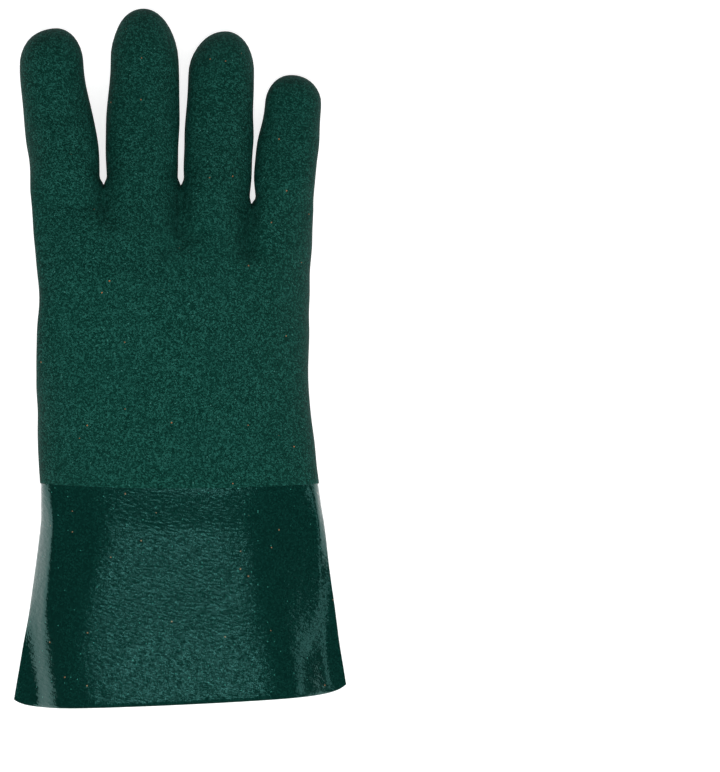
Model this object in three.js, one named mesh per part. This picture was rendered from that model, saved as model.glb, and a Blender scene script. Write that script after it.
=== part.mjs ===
// A right-hand work glove, dipped in PVC over a cloth base, lying palm down with its thumb tucked under the
// palm. Two solids: the sandy coated hand with its four finger stalls and thumb, and the smooth gauntlet cuff,
// whose upper end is lapped inside the hand. X runs from the index side to the little finger, Y from the cuff
// mouth to the fingertips, Z up from the surface it lies on. The origin is under the middle of the glove.
import * as THREE from 'three';

const { lerp, clamp, smoothstep, degToRad } = THREE.MathUtils;

// Driving dimensions, in millimetres.
const gloveLength = 305.5; // cuff mouth to the tip of the middle finger
const cuffLength = 98; // cuff mouth to the line where the sandy coat ends
const fingerLength = 77; // crotch to tip of the middle finger
const handWidth = 124.2; // across the four finger roots
const mouthWidth = 146.2; // across the cuff mouth
const handThickness = 36; // at the wrist, as it lies
const fingerThickness = 25; // middle finger, back to palm
const fingerGap = 2.6; // between neighbouring finger roots
const thumbStart = 54.8; // coat line to the crotch of the thumb
const thumbLength = 70; // crotch to tip of the thumb
const thumbWidth = 31;
const thumbThickness = 21;
const handWall = 1.8; // cloth with base coat and sandy coat
const cuffWall = 1.4; // cloth with base coat alone
const coatStep = 0.4; // how far the sandy coat stands proud of the cuff
const seatGap = 0.3; // between the cuff's lap and the inside of the hand
const hemGap = 0.5; // along the glove, between the hand's hem and the foot of that lap
const cuffLap = 10; // length of cuff hidden inside the hand
const mouthSlant = 6.5; // how much shorter the cuff is on the little finger side
const mouthCorner = 3.5; // how far the two ends of the mouth are rounded off
const lineBow = 2; // how far the end of the sandy coat sags at the middle
const bowReach = 25; // how far on either side of that line the sag dies out
const webDepth = 3; // how far a web between two fingers bulges towards the tips
const valleyLength = 26; // reach of the hollow that runs down from a finger crotch
const thumbRoom = 1.5; // clearance between the tucked thumb and the palm over it
const thumbTuck = 4; // how far the thumb lies in from the index edge of the hand
const creaseLength = 30; // reach of the crease between the ball of the thumb and the palm, down from the crotch
const settle = 1.2; // how far the soft underside is pressed flat where it rests

const palmLength = gloveLength - cuffLength - fingerLength;
const crotchLine = cuffLength + palmLength;

// The hand's outline from the coat line (0) to the finger crotches (1), as shares of half the hand width.
const handOutline = [
  { along: 0.0, left: -0.985, right: 0.98 },
  { along: 0.12, left: -1.0, right: 0.949 },
  { along: 0.28, left: -1.006, right: 0.918 },
  { along: 0.46, left: -1.0, right: 0.908 },
  { along: 0.64, left: -0.974, right: 0.911 },
  { along: 0.75, left: -1.004, right: 0.921 },
  { along: 0.87, left: -1.026, right: 0.936 },
  { along: 1.0, left: -1.05, right: 0.956 },
];

// The hand's heights at the same places, as shares of the hand thickness, for the index side (I) and the
// little side (L): over is the back, side the edge of the hand, under the palm.
const handHeights = [
  { along: 0.0, overI: 1.0, overL: 0.97, sideI: 0.47, sideL: 0.47, underI: 0, underL: 0 },
  { along: 0.12, overI: 1.05, overL: 0.97, sideI: 0.49, sideL: 0.46, underI: 0, underL: 0 },
  { along: 0.28, overI: 1.16, overL: 0.97, sideI: 0.62, sideL: 0.45, underI: 0, underL: 0 },
  { along: 0.46, overI: 1.27, overL: 0.97, sideI: 0.82, sideL: 0.45, underI: 0.03, underL: 0 },
  { along: 0.64, overI: 1.31, overL: 0.97, sideI: 0.89, sideL: 0.46, underI: 0.1, underL: 0.01 },
  { along: 0.75, overI: 1.29, overL: 0.96, sideI: 0.89, sideL: 0.47, underI: 0.21, underL: 0.04 },
  { along: 0.87, overI: 1.23, overL: 0.91, sideI: 0.87, sideL: 0.49, underI: 0.35, underL: 0.1 },
  { along: 1.0, overI: 1.15, overL: 0.83, sideI: 0.8, sideL: 0.5, underI: 0.46, underL: 0.19 },
];

// The cuff from the mouth (0) to the coat line (1), for the index side (I) and the little side (L): flare is the
// share of the extra width at the mouth, and over and side are heights as shares of the hand thickness.
const cuffOutline = [
  { along: 0.0, flareI: 1.0, flareL: 1.0, over: 0.99, sideI: 0.4, sideL: 0.42 },
  { along: 0.1, flareI: 0.87, flareL: 0.88, over: 0.972, sideI: 0.39, sideL: 0.44 },
  { along: 0.2, flareI: 0.74, flareL: 0.76, over: 0.954, sideI: 0.38, sideL: 0.45 },
  { along: 0.3, flareI: 0.6, flareL: 0.67, over: 0.943, sideI: 0.375, sideL: 0.455 },
  { along: 0.4, flareI: 0.46, flareL: 0.58, over: 0.941, sideI: 0.37, sideL: 0.46 },
  { along: 0.6, flareI: 0.24, flareL: 0.38, over: 0.941, sideI: 0.38, sideL: 0.46 },
  { along: 0.8, flareI: 0.04, flareL: 0.21, over: 0.944, sideI: 0.42, sideL: 0.46 },
  { along: 0.9, flareI: 0.01, flareL: 0.1, over: 0.965, sideI: 0.445, sideL: 0.465 },
  { along: 1.0, flareI: 0.0, flareL: 0.0, over: 0.99, sideI: 0.47, sideL: 0.47 },
];

// The section of its back at the same places. shape goes from the hand's oval (0) to the cuff's own (1), which is
// flat in the middle, slopes down from a hinge to a fold, and drops as a wall beyond it. hinge and fold are shares
// of the half width, and edge is the share of the back's height that is left at the fold.
const cuffBack = [
  { along: 0.0, shape: 1.0, hingeI: 0.73, hingeL: 0.7, edgeI: 0.4, edgeL: 0.36, foldI: 0.8, foldL: 0.84 },
  { along: 0.1, shape: 1.0, hingeI: 0.74, hingeL: 0.7, edgeI: 0.44, edgeL: 0.3, foldI: 0.82, foldL: 0.855 },
  { along: 0.2, shape: 1.0, hingeI: 0.76, hingeL: 0.67, edgeI: 0.48, edgeL: 0.26, foldI: 0.85, foldL: 0.87 },
  { along: 0.3, shape: 1.0, hingeI: 0.76, hingeL: 0.63, edgeI: 0.53, edgeL: 0.24, foldI: 0.865, foldL: 0.89 },
  { along: 0.4, shape: 1.0, hingeI: 0.73, hingeL: 0.6, edgeI: 0.57, edgeL: 0.22, foldI: 0.88, foldL: 0.91 },
  { along: 0.6, shape: 1.0, hingeI: 0.63, hingeL: 0.57, edgeI: 0.62, edgeL: 0.24, foldI: 0.885, foldL: 0.94 },
  { along: 0.8, shape: 0.95, hingeI: 0.54, hingeL: 0.53, edgeI: 0.62, edgeL: 0.3, foldI: 0.89, foldL: 0.96 },
  { along: 0.9, shape: 0.6, hingeI: 0.53, hingeL: 0.53, edgeI: 0.62, edgeL: 0.35, foldI: 0.9, foldL: 0.965 },
  { along: 1.0, shape: 0.0, hingeI: 0.53, hingeL: 0.53, edgeI: 0.62, edgeL: 0.4, foldI: 0.9, foldL: 0.97 },
];

// The fingers from the index side. width is a share of the room that four fingers share, mid and tip are widths
// and round the rounded end as shares of that, reach is a share of the middle finger's length, drift is how far
// the tip leans sideways as a share of the width, and up has the heights of the centre at root and tip as
// shares of the finger thickness.
const fingers = {
  index: { width: 0.263, mid: 1.0, tip: 0.914, round: 0.55, reach: 0.888, drift: -0.19, up: [1.16, 0.88] },
  middle: { width: 0.266, mid: 1.028, tip: 0.958, round: 0.73, reach: 1.0, drift: 0.016, up: [1.0, 0.64] },
  ring: { width: 0.2455, mid: 1.053, tip: 1.008, round: 0.69, reach: 0.878, drift: 0.08, up: [0.84, 0.51] },
  little: { width: 0.2255, mid: 1.033, tip: 0.933, round: 0.5, reach: 0.632, drift: 0.11, up: [0.71, 0.44] },
};

// The thumb from its crotch to its tip: shares of its width and thickness, and how far it leans in towards the
// palm, as a share of its width.
const thumbSections = [
  { along: 0.0, width: 1.22, thick: 1.0, lean: 0.0 },
  { along: 0.3, width: 1.07, thick: 1.0, lean: 0.02 },
  { along: 0.65, width: 1.0, thick: 0.97, lean: 0.1 },
  { along: 1.0, width: 0.88, thick: 0.86, lean: 0.2 },
];

// The webs between them: along is where each lies beyond the crotch line, as a share of the middle finger's
// length, and valley its hollow's reach as a share of the valley length.
const webs = [
  { along: 0.0, valley: 0.7 },
  { along: 0.0, valley: 1.0 },
  { along: -0.105, valley: 1.15 },
];

// Soft folds in the back, each a groove between two places given as across (-1 to 1) and along the palm
// (0 to 1), with depth and width in shares of the hand thickness.
const folds = [
  { from: [0.17, 0.83], to: [-0.09, 0.78], depth: 0.035, width: 0.15 },
  { from: [-0.92, 0.94], to: [-0.5, 0.92], depth: 0.03, width: 0.1 },
  { from: [-0.45, 0.95], to: [-0.34, 0.86], depth: 0.03, width: 0.12 },
];

// How finely the surface is drawn.
const fingerSteps = 6; // around the back of one finger, and again around its palm side
const sideSteps = 2; // around each side of a finger
const thumbSteps = fingerSteps + 2; // over the ball of the thumb, where it leaves the palm
const creaseSteps = 4; // from the foot of the thumb's crease up to the palm over the thumb
const cornerAcross = 0.975; // where the back turns into the side of the hand
const cornerAngle = 25; // the same place on a finger, in degrees above its side
const tubeSquare = 2.6; // oval of wrist and palm: 2 for an ellipse, more for a boxier one
const underSquare = 4.5; // the same for the underside at the cuff mouth
const underRound = 0.5; // power that rounds the edge of that underside
const hingeSoft = 0.12; // how gently the cuff's back bends at its hinges, as a share of the half width
const sidesChange = 0.2; // where across the cuff's back the values for its two sides change over
const wallOnset = 1.3; // power with which the wall beyond a fold sets in
const wallRound = 0.75; // power that rounds its lower edge
const fingerSquare = 2.2;
const thumbSquare = 2.6;
const thumbRound = 0.6; // rounded end of the thumb, as a share of its width
const scallop = 0.5; // depth of the hollow between two fingers, as a share of the finger's thickness
const driftEnds = 0.8; // share of a finger's length over which it takes up its sideways lean
const slantCurve = 1.6; // how late across the cuff its slant sets in
const cornerCurve = 16; // how close to the ends of the mouth its corners are
const tableEdge = 0.75; // where across the hand the heights for its two sides hold
const thumbShoulder = 40; // angle of the crease above the thumb's side, in degrees
const fingerEases = { side: 0.04, face: 0.3, height: 0.3 };
const thumbEases = { side: 0.45, face: 0.45, height: 0.1 };
const cuffRows = [0, 0.11, 0.24, 0.38, 0.52, 0.66, 0.8, 0.9, 0.965];
const wristRows = [0.42, 0.62, 0.81];
const palmRows = [0.07, 0.18, 0.32, 0.48, 0.64, 0.79, 0.91, 1];
const stallRows = [0.03, 0.12, 0.3, 0.55, 0.8, 1];
const tipAngles = [30, 55, 75];

// Smooth curve through one column of a table, read at a place along it.
function read(table, column, place) {
  const last = table.length - 1;
  const at = clamp(place, table[0].along, table[last].along);
  let i = 0;
  while (i < last - 1 && table[i + 1].along < at) i += 1;
  const slope = (k) => {
    const before = table[Math.max(k - 1, 0)];
    const after = table[Math.min(k + 1, last)];
    return (after[column] - before[column]) / (after.along - before.along);
  };
  const span = table[i + 1].along - table[i].along;
  const t = (at - table[i].along) / span;
  const ease = t * t * (3 - 2 * t);
  const bends = slope(i) * t * (1 - t) ** 2 - slope(i + 1) * t * t * (1 - t);
  return lerp(table[i][column], table[i + 1][column], ease) + bends * span;
}

const signedPower = (x, power) => Math.sign(x) * Math.abs(x) ** power;

// Where the fingers stand, worked out from the room between the two edges of the hand.
const halfHand = handWidth / 2;
const roots = handOutline[handOutline.length - 1];
const rootLeft = roots.left * halfHand;
const rootRight = roots.right * halfHand;
const fingerRoom = rootRight - rootLeft - webs.length * fingerGap;
let edge = rootLeft;
const stalls = Object.values(fingers).map((finger) => {
  const width = finger.width * fingerRoom;
  const left = edge;
  edge += width + fingerGap;
  const thickness = (fingerThickness * finger.width) / fingers.middle.width;
  return { ...finger, width, left, right: left + width, thickness };
});

// Ring layout: places across the hand of each point on the back, index side first. The points crowd towards the
// webs, as they would around a finger. hollow says how deep the scallop between two fingers is at that point.
const toAcross = (x) => (2 * (x - rootLeft)) / (rootRight - rootLeft) - 1;
const bounds = [
  -cornerAcross,
  ...webs.map((web, i) => toAcross((stalls[i].right + stalls[i + 1].left) / 2)),
  cornerAcross,
];
const backPoints = [];
stalls.forEach((finger, k) => {
  for (let i = k ? 1 : 0; i <= fingerSteps; i += 1) {
    const angle = degToRad(lerp(180 - cornerAngle, cornerAngle, i / fingerSteps));
    const share = 0.5 + (0.5 * Math.cos(angle)) / Math.cos(degToRad(cornerAngle));
    const facesWeb = angle > Math.PI / 2 ? k > 0 : k < stalls.length - 1;
    const webRight = Math.min(k, webs.length - 1);
    const webLeft = Math.max(k - 1, 0);
    const end = lerp(webs[webLeft].along, webs[webRight].along, i / fingerSteps) * fingerLength;
    backPoints.push({
      across: lerp(bounds[k], bounds[k + 1], share),
      hollow: facesWeb ? (1 - Math.sin(angle)) * finger.thickness * scallop : 0,
      end: crotchLine - webDepth + end,
      valley: lerp(webs[webLeft].valley, webs[webRight].valley, i / fingerSteps) * valleyLength,
    });
  }
});
const backCount = backPoints.length;
const underStart = backCount + sideSteps - 1;
const ringCount = 2 * underStart;

// One place on the ring: the back from the index side, the little side, the palm back again, the index side.
function ringPlace(index) {
  const angleOf = (across) => Math.acos(signedPower(across, tubeSquare / 2));
  if (index < backCount) return { ...backPoints[index], angle: angleOf(backPoints[index].across) };
  if (index < underStart) {
    const point = backPoints[backCount - 1];
    const turn = 1 - (2 * (index - backCount + 1)) / sideSteps;
    return { ...point, hollow: 0, angle: angleOf(point.across) * turn };
  }
  if (index < underStart + backCount) {
    const point = backPoints[backCount - 1 - (index - underStart)];
    return { ...point, angle: -angleOf(point.across) };
  }
  const point = backPoints[0];
  const turn = 1 - (2 * (index - underStart - backCount + 1)) / sideSteps;
  return { ...point, hollow: 0, angle: Math.PI + (Math.PI - angleOf(point.across)) * turn };
}

// The thumb leaves the ring between these two places on the palm side.
const thumbLeft = ringCount - sideSteps;
const thumbRight = thumbLeft - thumbSteps;
const overThumb = (index) => index > thumbRight && index < thumbLeft;
const splitLine = cuffLength + thumbStart;
const thumbTip = splitLine + thumbLength;
const roofHeight = thumbThickness - settle + thumbRoom;

// Depth of the folds at a place on the back.
function foldDepth(across, along) {
  let depth = 0;
  for (const fold of folds) {
    const [x0, y0] = [fold.from[0] * halfHand, fold.from[1] * palmLength];
    const [x1, y1] = [fold.to[0] * halfHand, fold.to[1] * palmLength];
    const [x, y] = [across * halfHand, along * palmLength];
    const t = clamp(((x - x0) * (x1 - x0) + (y - y0) * (y1 - y0)) / ((x1 - x0) ** 2 + (y1 - y0) ** 2), 0, 1);
    const away = Math.hypot(x - lerp(x0, x1, t), y - lerp(y0, y1, t));
    depth += fold.depth * handThickness * Math.exp(-((away / (fold.width * handThickness)) ** 2));
  }
  return depth;
}

// Drop of the cuff's back from its middle: nearly none as far as the hinge, and even beyond it.
function hingeDrop(out, at) {
  return (Math.hypot(out - at, hingeSoft) + out - Math.hypot(at, hingeSoft)) / 2;
}

// How high the back stands at a place across it, as a share of its height in the middle. Beyond the fold its
// slope runs out as an exponential, so that it never sinks below the edge.
function backRise(across, inCuff) {
  const out = Math.min(Math.abs(across), 1);
  const little = smoothstep(across, -sidesChange, sidesChange);
  const cuff = (name) => lerp(read(cuffBack, `${name}I`, inCuff), read(cuffBack, `${name}L`, inCuff), little);
  const [at, fold, edge] = [cuff('hinge'), cuff('fold'), cuff('edge')];
  const falls = 1 - ((1 - edge) * hingeDrop(out, at)) / hingeDrop(fold, at);
  const flank = out > fold ? edge * Math.exp(falls / edge - 1) : falls;
  const beyond = clamp((out - fold) / (1 - fold), 0, 1);
  const oval = (1 - out ** tubeSquare) ** (1 / tubeSquare);
  return lerp(oval, flank * (1 - beyond ** wallOnset) ** wallRound, read(cuffBack, 'shape', inCuff));
}

// The same for the underside, which is boxier at the mouth.
function underRise(across, inCuff) {
  const square = lerp(underSquare, tubeSquare, inCuff);
  return (1 - Math.min(Math.abs(across), 1) ** square) ** lerp(underRound, 1 / tubeSquare, inCuff);
}

// A point of the outer surface of cuff and hand, at a ring place and a distance from the mouth. roofed says
// that the palm passes over the thumb there.
function bodyPoint(index, distance, roofed) {
  const inCuff = clamp(distance / cuffLength, 0, 1);
  const inPalm = clamp((distance - cuffLength) / palmLength, 0, 1);
  const place = ringPlace(index);

  const handLeft = read(handOutline, 'left', inPalm) * halfHand;
  const handRight = read(handOutline, 'right', inPalm) * halfHand;
  const left = lerp(handLeft, -mouthWidth / 2, read(cuffOutline, 'flareI', inCuff));
  const right = lerp(handRight, mouthWidth / 2, read(cuffOutline, 'flareL', inCuff));
  const across = signedPower(Math.cos(place.angle), 2 / tubeSquare);
  const x = lerp(left, right, (across + 1) / 2);

  const towardsLittle = (across + tableEdge) / (2 * tableEdge);
  const heightAt = (column) => handThickness * read(handHeights, column, inPalm);
  const height = (name) => lerp(heightAt(name + 'I'), heightAt(name + 'L'), towardsLittle);
  const inHand = distance >= cuffLength;
  const cuffSide = lerp(read(cuffOutline, 'sideI', inCuff), read(cuffOutline, 'sideL', inCuff), towardsLittle);
  const over = inHand ? height('over') : handThickness * read(cuffOutline, 'over', inCuff);
  const side = inHand ? height('side') : handThickness * cuffSide;
  const fade = smoothstep(distance, place.end - place.valley, place.end);
  let z;
  if (Math.sin(place.angle) > 0) {
    const rise = backRise(across, inCuff);
    z = side + (over - side) * rise - place.hollow * fade - foldDepth(across, inPalm) * rise;
  } else {
    const grows = overThumb(index) ? Number(roofed) : smoothstep(distance, splitLine - creaseLength, splitLine);
    const passes = 1 - smoothstep(distance, thumbTip - thumbWidth / 2, thumbTip);
    const foot = ringPlace(thumbRight - creaseSteps).across;
    const crease = ringPlace(thumbRight).across;
    const roof = smoothstep(-across, -foot, -crease) * grows * passes;
    const under = lerp(height('under') - settle, roofHeight, roof);
    z = side - (side - under) * underRise(across, inCuff) + place.hollow * fade;
  }
  const slant = mouthSlant * ((across + 1) / 2) ** slantCurve + mouthCorner * across ** cornerCurve;
  const bow = lineBow * (1 - across ** 2) * Math.exp(-(((distance - cuffLength) / bowReach) ** 2));
  return new THREE.Vector3(x, distance + slant * (1 - inCuff) - bow, z);
}

// The skin: every vertex of the outer surface, with rings of vertices bridged by two triangles a side.
const skin = [];
const addPoint = (point) => skin.push(point) - 1;
const addRing = (place) => Array.from({ length: ringCount }, (_, index) => addPoint(place(index)));

function bridge(lower, upper) {
  const faces = [];
  lower.forEach((a, i) => {
    const j = (i + 1) % lower.length;
    faces.push([a, lower[j], upper[i]], [lower[j], upper[j], upper[i]]);
  });
  return faces;
}

// A finger or thumb stall: rows of rings from its root ring to a pole at its tip. tube gives the centre and the
// half sizes of its section at a share of the way to the tip. eases says by what share the sides and the faces
// have moved across to it, and by what share they have its height.
function stall(root, angles, tipAt, tipLength, square, eases, tube) {
  const faces = [];
  const rootPoints = root.map((index) => skin[index].clone());
  const straight = tipAt - tipLength;
  let ring = root;
  const addRow = (share, turn) => {
    const row = rootPoints.map((start, i) => {
      const y = lerp(start.y, straight, share) + tipLength * Math.sin(turn);
      const section = tube(share, y);
      const wide = signedPower(Math.cos(angles[i]), 2 / square);
      const thick = signedPower(Math.sin(angles[i]), 2 / square);
      const x = section.x + section.halfWidth * Math.cos(turn) * wide;
      const z = section.z + section.halfThickness * Math.cos(turn) * thick;
      const grown = smoothstep(share, 0, lerp(eases.side, eases.face, Math.abs(Math.sin(angles[i]))));
      const settled = smoothstep(share, 0, eases.height);
      return addPoint(new THREE.Vector3(lerp(start.x, x, grown), y, lerp(start.z, z, settled)));
    });
    faces.push(...bridge(ring, row));
    ring = row;
  };
  stallRows.forEach((share) => addRow(share, 0));
  tipAngles.forEach((degrees) => addRow(1, degToRad(degrees)));
  const section = tube(1, tipAt);
  const pole = addPoint(new THREE.Vector3(section.x, tipAt, section.z));
  ring.forEach((a, i) => faces.push([a, ring[(i + 1) % ring.length], pole]));
  return faces;
}

// Cuff rows up to the coat line, then the foot of the lap, which only the cuff uses.
const cuffRings = cuffRows.map((share) => addRing((i) => bodyPoint(i, share * cuffLength, false)));
const shoulderRing = addRing((i) => bodyPoint(i, cuffLength - 2 * hemGap, false));
const lapFootRing = addRing((i) => bodyPoint(i, cuffLength - hemGap, false));
const lineRing = addRing((i) => bodyPoint(i, cuffLength, false));
const lapTopRing = addRing((i) => bodyPoint(i, cuffLength + cuffLap, false));
const wristRings = wristRows.map((share) =>
  addRing((i) => bodyPoint(i, cuffLength + share * thumbStart, false)),
);

// At the split the ring over the palm and the thumb's ring part; they share the web between them.
const splitRing = addRing((i) => bodyPoint(i, splitLine, false));
const palmRing = splitRing.map((vertex, i) => {
  if (!overThumb(i)) return vertex;
  const point = bodyPoint(i, splitLine, true);
  point.y += webDepth;
  return addPoint(point);
});
const handFaces = [
  ...bridge(lineRing, lapTopRing),
  ...[lapTopRing, ...wristRings].flatMap((ring, i) => bridge(ring, [...wristRings, splitRing][i])),
];

let lower = palmRing;
palmRows.forEach((share) => {
  const upper = addRing((i) => {
    const { end } = ringPlace(i);
    return bodyPoint(i, lerp(splitLine, end, share), true);
  });
  handFaces.push(...bridge(lower, upper));
  lower = upper;
});

// The finger stalls. Each web has its own vertices, shared by the two fingers beside it.
const lastRing = lower;
const webPoints = webs.map((web, k) => {
  const back = skin[lastRing[(k + 1) * fingerSteps]];
  const palm = skin[lastRing[underStart + backCount - 1 - (k + 1) * fingerSteps]];
  return Array.from({ length: sideSteps - 1 }, (_, i) => {
    const share = (i + 1) / sideSteps;
    const point = back.clone().lerp(palm, share);
    point.y += webDepth * Math.sin(Math.PI * share);
    return addPoint(point);
  });
});

// Angles around a stall, turned from one corner to the next in even steps.
function turns(corners) {
  const angles = [];
  corners.slice(1).forEach(({ at, steps }, k) => {
    for (let i = 0; i < steps; i += 1) angles.push(degToRad(lerp(corners[k].at, at, i / steps)));
  });
  return angles;
}
const fingerAngles = turns([
  { at: 180 - cornerAngle },
  { at: cornerAngle, steps: fingerSteps },
  { at: -cornerAngle, steps: sideSteps },
  { at: cornerAngle - 180, steps: fingerSteps },
  { at: -180 - cornerAngle, steps: sideSteps },
]);

stalls.forEach((finger, k) => {
  const back = lastRing.slice(k * fingerSteps, (k + 1) * fingerSteps + 1);
  const palmEnd = underStart + backCount - k * fingerSteps;
  const palm = lastRing.slice(palmEnd - fingerSteps - 1, palmEnd);
  const littleSide = k < webs.length ? webPoints[k] : lastRing.slice(backCount, underStart);
  const indexSide = k > 0 ? [...webPoints[k - 1]].reverse() : lastRing.slice(underStart + backCount);
  const root = [...back, ...littleSide, ...palm, ...indexSide];
  const tipAt = crotchLine + finger.reach * fingerLength;
  const widths = [
    { along: 0, width: 1 },
    { along: 0.5, width: finger.mid },
    { along: 1, width: finger.tip },
  ];
  handFaces.push(
    ...stall(root, fingerAngles, tipAt, finger.round * finger.width, fingerSquare, fingerEases, (share, y) => {
      const along = clamp((y - crotchLine) / (tipAt - crotchLine), 0, 1);
      return {
        x: (finger.left + finger.right) / 2 + finger.drift * finger.width * smoothstep(along, 0, driftEnds),
        z: fingerThickness * lerp(...finger.up, Math.sin((along * Math.PI) / 2)),
        halfWidth: (finger.width / 2) * read(widths, 'width', share),
        halfThickness: (finger.thickness / 2) * read(widths, 'width', share),
      };
    }),
  );
});

// The thumb stall, from the web on its upper side and the ball of the thumb below.
const thumbWeb = palmRing.slice(thumbRight + 1, thumbLeft).reverse();
const thumbRoot = [...splitRing.slice(thumbRight, thumbLeft + 1), ...thumbWeb];
const thumbAngles = turns([
  { at: thumbShoulder },
  { at: -180 - thumbShoulder, steps: thumbSteps },
  { at: thumbShoulder - 360, steps: thumbSteps },
]);
const thumbOuter = skin[thumbRoot[thumbLeft - thumbRight]].x + thumbTuck;
handFaces.push(
  ...stall(thumbRoot, thumbAngles, thumbTip, thumbRound * thumbWidth, thumbSquare, thumbEases, (share) => {
    const halfWidth = (thumbWidth / 2) * read(thumbSections, 'width', share);
    const halfThickness = (thumbThickness / 2) * read(thumbSections, 'thick', share);
    return {
      x: thumbOuter + halfWidth + thumbWidth * read(thumbSections, 'lean', share),
      z: halfThickness - settle,
      halfWidth,
      halfThickness,
    };
  }),
);

const cuffLadder = [...cuffRings, shoulderRing, lapFootRing, lineRing, lapTopRing];
const cuffFaces = cuffLadder.slice(1).flatMap((ring, i) => bridge(cuffLadder[i], ring));

// Outward normals of the whole skin, cuff and hand together.
function skinNormals(faces) {
  const normals = skin.map(() => new THREE.Vector3());
  const [ab, ac] = [new THREE.Vector3(), new THREE.Vector3()];
  for (const [a, b, c] of faces) {
    ab.subVectors(skin[b], skin[a]);
    ac.subVectors(skin[c], skin[a]);
    const normal = ab.cross(ac);
    [a, b, c].forEach((vertex) => normals[vertex].add(normal));
  }
  return normals.map((normal) => normal.normalize());
}

// A closed wall under the skin. layer says how deep its outer and inner face lie at a vertex, and how far above
// the surface that the glove rests on the outer face stays.
function wall(faces, layer) {
  const positions = [];
  const used = [...new Set(faces.flat())];
  const place = new Map(used.map((vertex, i) => [vertex, i]));
  ['outer', 'inner'].forEach((side) => {
    used.forEach((vertex) => {
      const { [side]: depth, outer, floor } = layer(vertex);
      const point = skin[vertex].clone().addScaledVector(normals[vertex], -depth);
      positions.push(point.x, point.y, Math.max(point.z, floor + depth - outer));
    });
  });
  const indices = [];
  const rim = new Map();
  for (const [a, b, c] of faces) {
    const [i, j, k] = [place.get(a), place.get(b), place.get(c)];
    indices.push(i, j, k, used.length + i, used.length + k, used.length + j);
    [[i, j], [j, k], [k, i]].forEach(([from, to]) => {
      if (!rim.delete(`${to} ${from}`)) rim.set(`${from} ${to}`, [from, to]);
    });
  }
  for (const [from, to] of rim.values()) {
    indices.push(to, from, used.length + from, to, used.length + from, used.length + to);
  }
  const geometry = new THREE.BufferGeometry();
  geometry.setAttribute('position', new THREE.Float32BufferAttribute(positions, 3));
  geometry.setIndex(indices);
  return geometry;
}

const normals = skinNormals([...cuffFaces, ...handFaces]);
const lapDepth = handWall + seatGap;
const lapVertices = new Set([lapFootRing, lineRing, lapTopRing].flat());
const shoulderVertices = new Set(shoulderRing);
const handLayer = () => ({ outer: 0, inner: handWall, floor: 0 });
function cuffLayer(vertex) {
  if (lapVertices.has(vertex)) return { outer: lapDepth, inner: lapDepth + cuffWall, floor: lapDepth };
  if (shoulderVertices.has(vertex)) return { outer: coatStep, inner: lapDepth + cuffWall, floor: 0 };
  return { outer: coatStep, inner: coatStep + cuffWall, floor: 0 };
}

const coatMaterial = new THREE.MeshStandardMaterial({ color: 0x10403a, roughness: 0.85, metalness: 0 });
const cuffMaterial = new THREE.MeshStandardMaterial({ color: 0x06332c, roughness: 0.3, metalness: 0 });

const hand = new THREE.Mesh(wall(handFaces, handLayer), coatMaterial);
hand.name = 'coated_hand';
const cuff = new THREE.Mesh(wall(cuffFaces, cuffLayer), cuffMaterial);
cuff.name = 'gauntlet_cuff';

const glove = new THREE.Group();
glove.add(hand, cuff);
glove.position.y = -gloveLength / 2;

export default glove;
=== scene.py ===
# %% [markdown]
# A PVC coated work glove, lying palm down
#
# The real glove is a cloth glove, sewn from cotton jersey, that is dipped in green PVC. The hand is dipped
# a second time in a coat with grit in it, which leaves it rough and matt, and the gauntlet below stays
# smooth and glossy. This notebook dresses the CAD model of that glove. Lengths are in millimetres until a
# mesh is made.

import bpy
import numpy as np
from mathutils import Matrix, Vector


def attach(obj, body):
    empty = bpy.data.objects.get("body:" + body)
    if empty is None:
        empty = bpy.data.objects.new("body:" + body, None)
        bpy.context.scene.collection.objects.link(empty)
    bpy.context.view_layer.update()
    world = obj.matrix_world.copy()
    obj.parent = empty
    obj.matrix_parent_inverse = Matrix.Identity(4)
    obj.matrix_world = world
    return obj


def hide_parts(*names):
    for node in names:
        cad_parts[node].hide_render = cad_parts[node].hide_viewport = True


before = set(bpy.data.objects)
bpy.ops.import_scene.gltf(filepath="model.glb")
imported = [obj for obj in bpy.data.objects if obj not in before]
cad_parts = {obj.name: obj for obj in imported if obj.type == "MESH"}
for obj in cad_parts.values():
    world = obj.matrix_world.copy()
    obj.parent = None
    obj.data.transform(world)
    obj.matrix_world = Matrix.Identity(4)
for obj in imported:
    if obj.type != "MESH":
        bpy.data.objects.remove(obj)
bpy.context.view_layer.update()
MM = 0.001

# %% [markdown]
# The camera
#
# The photograph looks straight down on the glove, from far enough away that nothing is foreshortened. So
# the camera hangs over the middle of the picture and has a long lens, and its distance is worked out from
# the real size of what the picture takes in. The glove lies in the left half, as it does in the photograph.

# %% Camera
GLOVE_LENGTH = 305.5
PHOTO_PIXELS = (720, 772)
MIDDLE_LINE_PIXEL = 180
MOUTH_PIXEL = 707
MM_PER_PIXEL = 0.4376
LENS = 300
SENSOR = 36
SHARP_PLANE = 17  # height at which that scale holds, about where the outline of the glove is

view_centre = Vector(
    (
        (PHOTO_PIXELS[0] / 2 - MIDDLE_LINE_PIXEL) * MM_PER_PIXEL,
        (MOUTH_PIXEL - PHOTO_PIXELS[1] / 2) * MM_PER_PIXEL - GLOVE_LENGTH / 2,
        SHARP_PLANE,
    )
)
camera_distance = PHOTO_PIXELS[1] * MM_PER_PIXEL * LENS / SENSOR
camera = bpy.data.objects.new("camera", bpy.data.cameras.new("camera"))
camera.data.lens = LENS
camera.data.sensor_width = SENSOR
camera.location = (view_centre + Vector((0, 0, camera_distance))) * MM
bpy.context.scene.collection.objects.link(camera)
bpy.context.scene.camera = camera
print("camera at, m:", [round(value, 3) for value in camera.location])

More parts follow.
